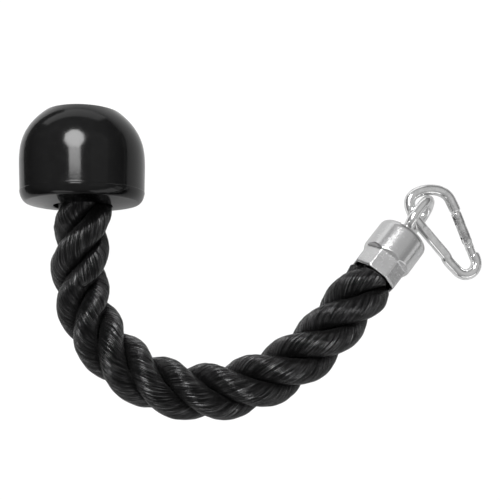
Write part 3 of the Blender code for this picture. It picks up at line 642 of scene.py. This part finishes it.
def bright_steel(name, tone=0.95, gloss=0.09, dullest=0.82):
    recipe = Recipe(name, metallic=1.0)
    at = recipe.place()
    cloud = recipe.noise(at, 240, 3.0)
    pits = recipe.noise(at, 1500, 3.0, 0.6)
    low = tone * dullest
    clear = recipe.ramp(cloud * 0.5 + pits * 0.5, (0.40, 0.0), (0.56, 1.0))
    recipe.feed(base_color=recipe.mix(clear, (low, low, low), (tone, tone, tone)),
                roughness=gloss + 0.08 * (1 - clear) + 0.08 * pits,
                normal=recipe.bump(pits * 0.4 + cloud * 0.6, 0.00006, 0.30))
    return recipe.material


bright = bright_steel("bright_nickel")
dull = bright_steel("plain_zinc", 0.62, 0.24)
spring_wire = bright_steel("spring_wire", 0.45, 0.30)

# %% [markdown]
# ## The crimped cap
# A cup of steel whose skirt was squeezed to eight flats. The flats run out into the round body at a slope,
# and where a sloping flat cuts the round it leaves the crescents that the picture shows. So the cap's
# radius is a function of height and angle: the smaller of the round and of the flats, softened a little.

# %% The cap's skin
CAP_RADIUS = 0.0142
CAP_LENGTH = 0.0310
CAP_WALL = 0.0015
CAP_END_WALL = 0.0020
CAP_EDGE_RADIUS = 0.0035
CRIMP_FLATS = 8
CRIMP_HALF = 0.0125
CRIMP_LENGTH = 0.0112
CRIMP_SLOPE = 0.9
CRIMP_BEND = 0.0004
CRESCENT_LENGTH = 0.0030
ROW_GAP = 0.0004
FLAT_CORNER_POWER = 110
CRESCENT_POWER = 130
CAP_COLUMNS = 288
LIP = 0.0002
SHANK_HOLE_RADIUS = 0.00315


def cap_reach(height, angle, inset):
    """The cap's radius: round, less its end's rounding, and cut by flats. A flat at angle k lies at
    distance / cos(angle - k), and all eight together at distance / (sum of cos(angle - k)^p)^(1/p)."""
    over = np.clip((height - CAP_LENGTH + CAP_EDGE_RADIUS) / CAP_EDGE_RADIUS, 0, 1)
    rounding = CAP_EDGE_RADIUS * (1 - np.sqrt(1 - over ** 2)) if inset == 0 else 0.0
    facing = np.cos(angle[..., None] - TURN * np.arange(CRIMP_FLATS) / CRIMP_FLATS)
    facets = (np.maximum(facing, 0) ** FLAT_CORNER_POWER).sum(-1) ** (1 / FLAT_CORNER_POWER)
    past = height - CRIMP_LENGTH
    climb = CRIMP_SLOPE * 0.5 * (past + np.hypot(past, CRIMP_BEND))
    return softest((CRIMP_HALF - inset + climb) / facets, CAP_RADIUS - inset - rounding + 0 * angle,
                   CRESCENT_POWER)


def cap_grid():
    """Rows from the mouth up the outside, over the end to the shank's hole, and back down the inside."""
    angle = TURN * np.arange(CAP_COLUMNS)[None, :] / CAP_COLUMNS
    edge_start = CAP_LENGTH - CAP_EDGE_RADIUS
    edge = edge_start + CAP_EDGE_RADIUS * np.sin(np.linspace(0, QUARTER, 14))
    crest = CRIMP_LENGTH + CRESCENT_LENGTH
    outside = np.concatenate([[LIP], np.linspace(LIP + ROW_GAP, CRIMP_LENGTH - 2 * ROW_GAP, 12),
                              np.linspace(CRIMP_LENGTH - ROW_GAP, crest, 24),
                              np.linspace(crest + 2 * ROW_GAP, edge_start - ROW_GAP, 14), edge])
    inside = np.concatenate([[CAP_LENGTH - CAP_END_WALL],
                             np.linspace(crest, CRIMP_LENGTH - 0.001, 8), [LIP]])
    outer = cap_reach(outside[:, None], angle, 0.0)
    outer[0] -= LIP
    inner = cap_reach(inside[:, None], angle, CAP_WALL)
    inner[-1] += LIP
    lip_outer, lip_inner = outer[0] - LIP, inner[-1] + LIP
    hole = np.full_like(angle, SHANK_HOLE_RADIUS)
    radius = np.vstack([outer, hole, hole, inner, lip_inner[None, :], lip_outer[None, :]])
    height = np.concatenate([outside, [CAP_LENGTH, CAP_LENGTH - CAP_END_WALL], inside, [0.0, 0.0]])
    return cap_seat(radius * np.cos(angle), radius * np.sin(angle), height[:, None]), height


# %% The cap
cap_points, cap_heights = cap_grid()
add_piece("crimped_cap", [tube_shell(cap_points, along=np.append(cap_heights, 0.0) * 1000, ring=True)],
          satin_steel(), "rope_and_ends", ("end_cap",))

# %% [markdown]
# ## The swivel eye
# A ring of bent wire, a little longer than it is wide, on a shank that turns in the cap. Its line is two
# half circles and two straights.

# %% Wires along a line
def wire_grid(points, across, upwards, radius, columns, flatten=None):
    """Row point = line + radius * (cos a * across + sin a * upwards). flatten is a share below 1 that cuts
    the round section by a square: each coordinate is kept within share * radius."""
    angle = TURN * (np.arange(columns) + 0.5) / columns
    limit = np.ones(len(points)) if flatten is None else flatten
    radius = np.broadcast_to(radius, (len(points),))
    sideways = np.clip(np.cos(angle)[None, :], -limit[:, None], limit[:, None]) * radius[:, None]
    lift = np.clip(np.sin(angle)[None, :], -limit[:, None], limit[:, None]) * radius[:, None]
    return points[:, None] + sideways[..., None] * across[:, None] + lift[..., None] * upwards[:, None]


def arc(centre, radius, start, end, steps):
    """Points (centre + radius * (cos a, sin a)) in a plane."""
    angle = np.linspace(start, end, steps)
    return np.asarray(centre, float) + radius * np.stack([np.cos(angle), np.sin(angle)], -1)


# %% The eye
SEAT_GAP = 0.0003
EYE_WIRE_RADIUS = 0.00275
EYE_WIDTH = 0.0205
EYE_LENGTH = 0.0272
SHANK_RADIUS = 0.0030
SHANK_DEPTH = 0.0091
COLLAR = 0.0004
COLLAR_START = 0.0012
COLLAR_TOP = 0.0024
AXIS_HOLE = 0.0003

eye_bend = EYE_WIDTH / 2 - EYE_WIRE_RADIUS
eye_flat = np.vstack([arc((EYE_LENGTH - EYE_WIRE_RADIUS - eye_bend, 0), eye_bend, -QUARTER, QUARTER, 40),
                      arc((SEAT_GAP + EYE_WIRE_RADIUS + eye_bend, 0), eye_bend, QUARTER, 3 * QUARTER, 40)])
eye_line = eye_seat(0.0, -eye_flat[:, 1], eye_flat[:, 0])
eye_tangent = unit(np.roll(eye_line, -1, 0) - np.roll(eye_line, 1, 0))
eye_normal = np.broadcast_to(eye_seat.x_axis, eye_line.shape)
eye_wire = wire_grid(eye_line, np.cross(eye_tangent, eye_normal), eye_normal, EYE_WIRE_RADIUS, 32)
shank_profile = rounded([(AXIS_HOLE, -SHANK_DEPTH), (SHANK_RADIUS, -SHANK_DEPTH),
                         (SHANK_RADIUS, COLLAR_START), (SHANK_RADIUS + COLLAR, COLLAR_TOP),
                         (AXIS_HOLE, COLLAR_TOP)],
                        [0.0001, 0.0005, 0.0004, 0.0004, 0.0001])
add_piece("swivel_eye", [tube_shell(eye_wire, ring=True), turned_shell(eye_seat, shank_profile, 48)],
          bright, "eye", ("eye_bolt",))

# %% [markdown]
# ## The snap hook
# One bent wire: a big bow that passes through the eye, a spine that was pressed flat on four sides, and a
# small bow at the far end. The line is worked out flat, then seated. Joints between its arcs and straights
# are smoothed by a running mean, as a bending tool would leave them.

# %% The hook's line
HOOK_WIRE_RADIUS = 0.0030
BIG_BOW_RADIUS = 0.0116
SMALL_BOW_RADIUS = 0.0065
BOW_SPACING = 0.0355
BOW_DRAW = 0.09
BOW_LEAN = 0.36
NOSE_FLARE = 0.0003
NOSE_STRAIGHT = 0.0012
HINGE_SETBACK = 0.0108
HINGE_NECK_LENGTH = 0.0076
GATE_REACH = 0.0170
NOSE_GAP = 0.0005
PRESS_SHARE = 0.88
PRESS_START = 0.0028
PRESS_LENGTH = 0.0235
PRESS_STEP = 0.0010
PRESS_RUN_OUT = 0.0016
SPINE_JOG = 0.0004
SPINE_REST = 0.0030
HOOK_ROWS = 420
SMOOTHING = 17

hook_lean = math.asin((BIG_BOW_RADIUS - SMALL_BOW_RADIUS) / BOW_SPACING)
straight = BOW_SPACING * math.cos(hook_lean)
outward = np.array((math.sin(hook_lean), math.cos(hook_lean)))
along = np.array((math.cos(hook_lean), -math.sin(hook_lean)))
tangent_turn = QUARTER - hook_lean


def hook_line():
    """The flat line, and the distances along it at which the pressed spine starts and ends. Beyond the
    bow's centre, x is drawn out by a share of itself and y leans over by a share of x^2 / radius."""
    nose_x = straight - HINGE_SETBACK - GATE_REACH - NOSE_GAP
    nose = (BIG_BOW_RADIUS + NOSE_FLARE) * outward + nose_x * along
    bow = arc((0, 0), BIG_BOW_RADIUS, tangent_turn, TURN - tangent_turn, 120)
    beyond = np.maximum(-bow[:, 0], 0)
    bow = bow - np.stack([BOW_DRAW * beyond, BOW_LEAN * beyond ** 2 / BIG_BOW_RADIUS], -1)
    aside = outward * (1, -1)
    spine = along * (1, -1)
    lengths = PRESS_START + np.array([0, PRESS_STEP, PRESS_LENGTH - PRESS_STEP, PRESS_LENGTH,
                                      PRESS_LENGTH + SPINE_REST])
    jogs = np.array([0, 0, -SPINE_JOG, SPINE_JOG, SPINE_JOG])
    back = bow[-1] + lengths[:, None] * spine + jogs[:, None] * aside
    foot = arc((BOW_SPACING, 0), SMALL_BOW_RADIUS, -tangent_turn, tangent_turn, 80)
    stub = foot[-1] - (HINGE_SETBACK - HINGE_NECK_LENGTH) * along
    flat = np.vstack([nose, nose - NOSE_STRAIGHT * along, bow, back, foot, stub])
    run = run_along(flat)
    spine_start = len(bow) + 2
    return flat, run, (run[spine_start], run[spine_start + 3])


flat, flat_run, press_span = hook_line()
hook_run = np.linspace(0, flat_run[-1], HOOK_ROWS)
even = np.stack([np.interp(hook_run, flat_run, flat[:, k]) for k in range(2)], -1)
window = np.hanning(SMOOTHING) / np.hanning(SMOOTHING).sum()
spare = SMOOTHING // 2
padded = np.vstack([2 * even[:1] - even[spare:0:-1], even, 2 * even[-1:] - even[-2:-spare - 2:-1]])
even = np.stack([np.convolve(padded[:, k], window, "valid") for k in range(2)], -1)
press = smooth_step(hook_run, press_span[0], press_span[0] + PRESS_RUN_OUT) * (
    1 - smooth_step(hook_run, press_span[1] - PRESS_RUN_OUT, press_span[1]))
print(f"hook wire {flat_run[-1] * 1000:.1f} mm, pressed from {press_span[0] * 1000:.1f} to"
      f" {press_span[1] * 1000:.1f} mm")

# %% [markdown]
# The nose and the hinge each end in a flat tongue that enters a slot of the gate. A tongue is a plate: an
# outline raised between two heights, with its edges eased.

# %% Plates and bars
def plate_shell(seat, outline, bottom, top, ease):
    """Rows: the outline drawn in by ease, at full size, at full size again, and drawn in. Drawing in
    moves each corner towards the outline's middle by that length."""
    outline = np.asarray(outline, float)
    middle = outline.mean(0)
    small = outline + unit(middle - outline) * ease
    rows_xy = np.stack([small, outline, outline, small])
    heights = np.array([bottom, bottom + ease, top - ease, top])
    return tube_shell(seat(rows_xy[..., 0], rows_xy[..., 1], heights[:, None]))


def bar_shell(x, radius, columns=40):
    """A round bar along the gate's X axis: (x, radius cos a, radius sin a)."""
    angle = TURN * np.arange(columns)[None, :] / columns
    return tube_shell(gate_seat(x[:, None], radius[:, None] * np.cos(angle), radius[:, None] * np.sin(angle)))


# %% The hook's wire, neck and tongues
GATE_RADIUS = 0.00275
HINGE_NECK_RADIUS = 0.0023
TONGUE_THICKNESS = 0.0024
TONGUE_WIDTH = 0.0044
NOSE_TONGUE_LENGTH = 0.0056
HINGE_TONGUE_END = 0.0020
TONGUE_ROOT = 0.0015
LATCH_PIN_SETBACK = 0.0024
NOTCH_RADIUS = 0.00105
TIP_UPPER = 0.7
TIP_LOWER = 0.6
TIP_SLOPE = 0.4
TONGUE_CORNER = 0.0006
TONGUE_EASE = 0.00015
NECK_EASE = 0.0003
WIRE_END_LENGTH = 0.0014
WIRE_END_SHARE = 0.30

hook_points = hook_seat(even[:, 0], even[:, 1], 0.0)
hook_tangent = unit(np.gradient(hook_points, axis=0))
hook_up = np.broadcast_to(hook_seat.z_axis, hook_points.shape)
to_end = np.minimum(hook_run, hook_run[-1] - hook_run)
end_ease = 1 - WIRE_END_SHARE * (1 - np.clip(to_end / WIRE_END_LENGTH, 0, 1)) ** 2
wire = wire_grid(hook_points, np.cross(hook_tangent, hook_up), hook_up, HOOK_WIRE_RADIUS * end_ease, 40,
                 flatten=1 - (1 - PRESS_SHARE) * press)
half = TONGUE_WIDTH / 2
tip = GATE_REACH - NOSE_TONGUE_LENGTH
pin = GATE_REACH - LATCH_PIN_SETBACK
notch = arc((pin, 0), NOTCH_RADIUS, 0, -math.pi, 13)
nose_root = GATE_REACH + NOSE_GAP + TONGUE_ROOT
nose_outline = np.vstack([[(nose_root, -half), (nose_root, half), (pin + NOTCH_RADIUS, half)], notch,
                          [(pin - NOTCH_RADIUS, half * TIP_UPPER), (tip, half * TIP_UPPER),
                           (tip, -half * TIP_LOWER), (tip + half * TIP_SLOPE, -half)]])
neck_end = -GATE_RADIUS - NOSE_GAP
corner_x, corner_y = HINGE_TONGUE_END - TONGUE_CORNER, half - TONGUE_CORNER
hinge_root = neck_end - TONGUE_ROOT
hinge_outline = np.vstack([[(hinge_root, -half)], arc((corner_x, -corner_y), TONGUE_CORNER, -QUARTER, 0, 5),
                           arc((corner_x, corner_y), TONGUE_CORNER, 0, QUARTER, 5), [(hinge_root, half)]])
neck = bar_shell(np.array([-HINGE_NECK_LENGTH - TONGUE_ROOT, neck_end - NECK_EASE, neck_end]),
                 HINGE_NECK_RADIUS - np.array([0, 0, NECK_EASE]))
tongues = [plate_shell(gate_seat, outline, -TONGUE_THICKNESS / 2, TONGUE_THICKNESS / 2, TONGUE_EASE)
           for outline in (nose_outline, hinge_outline)]
add_piece("snap_hook", [tube_shell(wire), neck, *tongues],
          bright, "hook", ("hook_body",), crease=math.radians(22))

# %% [markdown]
# ## The gate
# A round bar, forked at both ends: one fork holds the rivet, the other takes the hook's nose. A fork's
# prong is a bar with part of its round cut away, so its section is an arc closed by its chord.

# %% The gate's bar and prongs
SLOT_HALF = 0.0015
HINGE_SLOT_END = 0.00327
NOSE_SLOT_START = 0.0109
GATE_CHAMFER = 0.0003
OVERLAP = 0.0004
BAR_EASE = 0.0001
ARC_POINTS = 25
CHORD_POINTS = 5


def prong_shell(x, radius, sign):
    """Section: the arc of a circle from asin(slot / radius) to its mirror, closed along the slot's side."""
    start = np.arcsin(np.minimum(SLOT_HALF / radius, 0.999))
    share = np.linspace(0, 1, ARC_POINTS)[None, :]
    angle = start[:, None] + share * (math.pi - 2 * start[:, None])
    y, z = radius[:, None] * np.cos(angle), radius[:, None] * np.sin(angle)
    chord = np.linspace(-1, 1, CHORD_POINTS + 2)[None, 1:-1]
    y = np.hstack([y, chord * (radius * np.cos(start))[:, None]])
    z = np.hstack([z, np.repeat((radius * np.sin(start))[:, None], CHORD_POINTS, 1)])
    return tube_shell(gate_seat(x[:, None], y, sign * z))


dome_lean = np.linspace(math.asin(SLOT_HALF / GATE_RADIUS) * 1.02, QUARTER, 14)
hinge_x = np.append(-GATE_RADIUS * np.cos(dome_lean), HINGE_SLOT_END + OVERLAP)
hinge_radius = np.append(GATE_RADIUS * np.sin(dome_lean), GATE_RADIUS)
nose_x = np.array([NOSE_SLOT_START - OVERLAP, GATE_REACH - GATE_CHAMFER, GATE_REACH])
nose_radius = np.array([GATE_RADIUS, GATE_RADIUS, GATE_RADIUS - GATE_CHAMFER])
gate_shells = [bar_shell(np.array([HINGE_SLOT_END, HINGE_SLOT_END + BAR_EASE, NOSE_SLOT_START - BAR_EASE,
                                   NOSE_SLOT_START]), GATE_RADIUS - np.array([BAR_EASE, 0, 0, BAR_EASE]))]
for sign in (-1, 1):
    gate_shells += [prong_shell(hinge_x, hinge_radius, sign), prong_shell(nose_x, nose_radius, sign)]
add_piece("hook_gate_bar", gate_shells, bright_steel("worn_nickel", 0.92, 0.12, 0.50), "gate",
          ("hook_gate",), crease=math.radians(25))

# %% [markdown]
# ## Parts that keep their CAD solids
# Washers, the nut, the rivet, the pin, the plunger, the spring and the tapes are plain turned or wound
# parts. Their CAD solids have the right shape already, so they only take a finish.

# %% Finishes for the CAD solids
def tape():
    recipe = Recipe("cloth_tape", specular_ior_level=0.4)
    at = recipe.place()
    weave = recipe.node("ShaderNodeTexWave", {"wave_type": "BANDS", "bands_direction": "DIAGONAL"},
                        {"Vector": at, "Scale": 900.0, "Distortion": 1.5, "Detail": 2.0})
    cloud = recipe.noise(at, 200, 3.0)
    recipe.feed(base_color=recipe.mix(cloud, (0.012, 0.012, 0.013), (0.026, 0.026, 0.028)),
                roughness=0.45 + 0.2 * cloud, normal=recipe.bump(weave, 0.00008, 0.5))
    return recipe.material


for finish, names in ((dull, ("stop_washer", "stop_ferrule", "eye_washer", "eye_nut")),
                      (tape(), ("rope_tape_ball", "rope_tape_cap")),
                      (bright, ("latch_pin", "gate_rivet", "gate_plunger")),
                      (spring_wire, ("gate_spring",))):
    for name in names:
        nodes[name].data.materials.clear()
        nodes[name].data.materials.append(finish)
    print(f"{finish.name} on {', '.join(names)}")

# %% [markdown]
# ## Floor and light
# The picture is a plain cut-out on white. The floor is pale paper, and for the camera it is mostly its own
# white, so that only a soft shadow is left. What mirrors it sees less of that white.
#
# Black rubber and bright steel show the studio and little else, so the lights have the shapes that the ball
# mirrors in the photograph: a softbox with eight sides makes the round head of the ball's highlight, and a
# strip in front of it makes the stem. Lamps would light as well, but flat glowing faces are simpler to cut
# to such shapes.

# %% Flat stage pieces
def flat_stage(name, corners, material, shown=True):
    """One flat face through its corners. It belongs to the stage and not to the object."""
    mesh = bpy.data.meshes.new(name)
    mesh.from_pydata([tuple(corner) for corner in corners], [], [tuple(range(len(corners)))])
    mesh.materials.append(material)
    sheet = bpy.data.objects.new(name, mesh)
    bpy.context.scene.collection.objects.link(sheet)
    sheet.visible_camera = shown
    print(f"{name}: {len(corners)} corners")


def glow(name, strength):
    """An Emission shader of one strength."""
    recipe = Recipe(name)
    return recipe.show(recipe.node("ShaderNodeEmission", values={"Strength": strength}))


# %% The floor
FLOOR_HALF = 3.0
PAPER = (0.46, 0.46, 0.46)
WHITE_STRENGTH = 1.09
WHITE_SHARES = {"Is Camera Ray": 0.92, "Is Glossy Ray": 0.25, "Is Transmission Ray": 0.25}


def floor_finish():
    """Pale paper with a share of plain white: nearly all for the camera, less for what mirrors it."""
    recipe = Recipe("white_floor", base_color=PAPER, roughness=0.9, specular_ior_level=0.0)
    share = sum(part * recipe.node("ShaderNodeLightPath", out=kind) for kind, part in WHITE_SHARES.items())
    white = recipe.node("ShaderNodeEmission", values={"Strength": WHITE_STRENGTH})
    paper = Flow(recipe, recipe.shader.outputs[0])
    share = share.math("MINIMUM", share, 1.0)
    return recipe.show(recipe.node("ShaderNodeMixShader", values={0: share, 1: paper, 2: white}))


flat_stage("floor", [(x * FLOOR_HALF, y * FLOOR_HALF, 0) for x, y in ((-1, -1), (1, -1), (1, 1), (-1, 1))],
           floor_finish())

# %% [markdown]
# The second strip, nearer the camera, lights the ball's lower rim. A dim panel on the right keeps that side
# from going quite black.

# %% The lights overhead
CEILING = 0.46
UNDER_BALL = np.array((-0.089, 0.016))


def ceiling_light(name, strength, corners):
    """A flat light at one height, its corners in metres from the point over the ball."""
    places = [(*(UNDER_BALL + corner), CEILING) for corner in np.asarray(corners)]
    flat_stage(name, places, glow(name + "_glow", strength), shown=False)


ceiling_light("softbox", 16.5, [(-0.072, 0.278), (0.012, 0.278), (0.092, 0.200), (0.100, 0.112),
                                (0.045, 0.046), (-0.078, 0.046), (-0.150, 0.100), (-0.155, 0.198)])
ceiling_light("strip_light", 11.0, [(-0.086, 0.042), (0.056, 0.042), (0.060, -0.013), (-0.080, -0.013)])
ceiling_light("front_strip", 11.0, [(-0.076, -0.062), (0.064, -0.062), (0.074, -0.112), (-0.066, -0.112)])
ceiling_light("right_panel", 0.50, [(0.20, 0.34), (0.62, 0.34), (0.62, -0.34), (0.20, -0.34)])

# %% [markdown]
# Low walls far off give the steel its bright stripes and the ball's rims their soft gradients. Dark flags
# close by hide the far white paper from the sides of the ball and the rope.

# %% The walls and flags
FLAG_STRENGTH = 0.10
WALL_FOOT = 0.001


def wall_light(name, start, end, top, strength):
    """An upright flat light, from one point of the floor to another."""
    corners = [(*start, WALL_FOOT), (*end, WALL_FOOT), (*end, top), (*start, top)]
    flat_stage(name, corners, glow(name + "_glow", strength), shown=False)


wall_light("back_wall", (-1.00, 0.90), (0.30, 1.00), 0.38, 1.00)
wall_light("right_wall", (0.85, -0.45), (0.20, -1.00), 0.36, 1.30)
wall_light("side_wall", (0.95, -0.12), (0.88, -0.42), 0.30, 0.80)
wall_light("left_wall", (-0.22, -1.00), (-0.70, -0.85), 0.36, 1.50)
wall_light("left_flag", (-0.235, 0.38), (-0.235, -0.26), 0.060, FLAG_STRENGTH)
wall_light("front_flag", (-0.235, -0.26), (0.30, -0.26), 0.032, FLAG_STRENGTH)
wall_light("right_flag", (0.30, -0.26), (0.30, 0.38), 0.032, FLAG_STRENGTH)

# %% [markdown]
# A dim grey dome stands round everything, hidden from the camera. It is darkest near the floor, so that
# black stays black. Its flat bottom lies a little under the floor.

# %% The room
ROOM_RADIUS = 2.5
LOWEST_LEAN = -0.04
ROOM_GLOW = [(0.05, 0.14), (0.60, 0.37)]


def room_finish():
    """Grey walls: the glow rises with the height over the floor, as a share of the room's radius."""
    recipe = Recipe("room")
    height = recipe.node("ShaderNodeSeparateXYZ", values={0: recipe.place()}, out=2)
    grey = recipe.ramp(height / ROOM_RADIUS, *ROOM_GLOW)
    return recipe.show(recipe.node("ShaderNodeEmission", values={"Color": grey}))


lean = np.linspace(LOWEST_LEAN, QUARTER, 17)[:-1]
floor_seat = Seat((0, 0, 0), (0, 0, 1), (1, 0, 0))
dome_grid = turned_grid(floor_seat, ROOM_RADIUS * np.cos(lean), ROOM_RADIUS * np.sin(lean), 48)
room = bpy.data.objects.new("room", mesh_from("room", [tube_shell(dome_grid)]))
room.data.materials.append(room_finish())
bpy.context.scene.collection.objects.link(room)
room.visible_camera = False
print(f"room: a dome of {ROOM_RADIUS:.1f} m")

# %% The backdrop
world = bpy.data.worlds.new("white_backdrop")
world.use_nodes = True
world.node_tree.nodes["Background"].inputs["Color"].default_value = (1.0, 1.0, 1.0, 1.0)
bpy.context.scene.world = world
bpy.context.scene.view_settings.view_transform = "Standard"
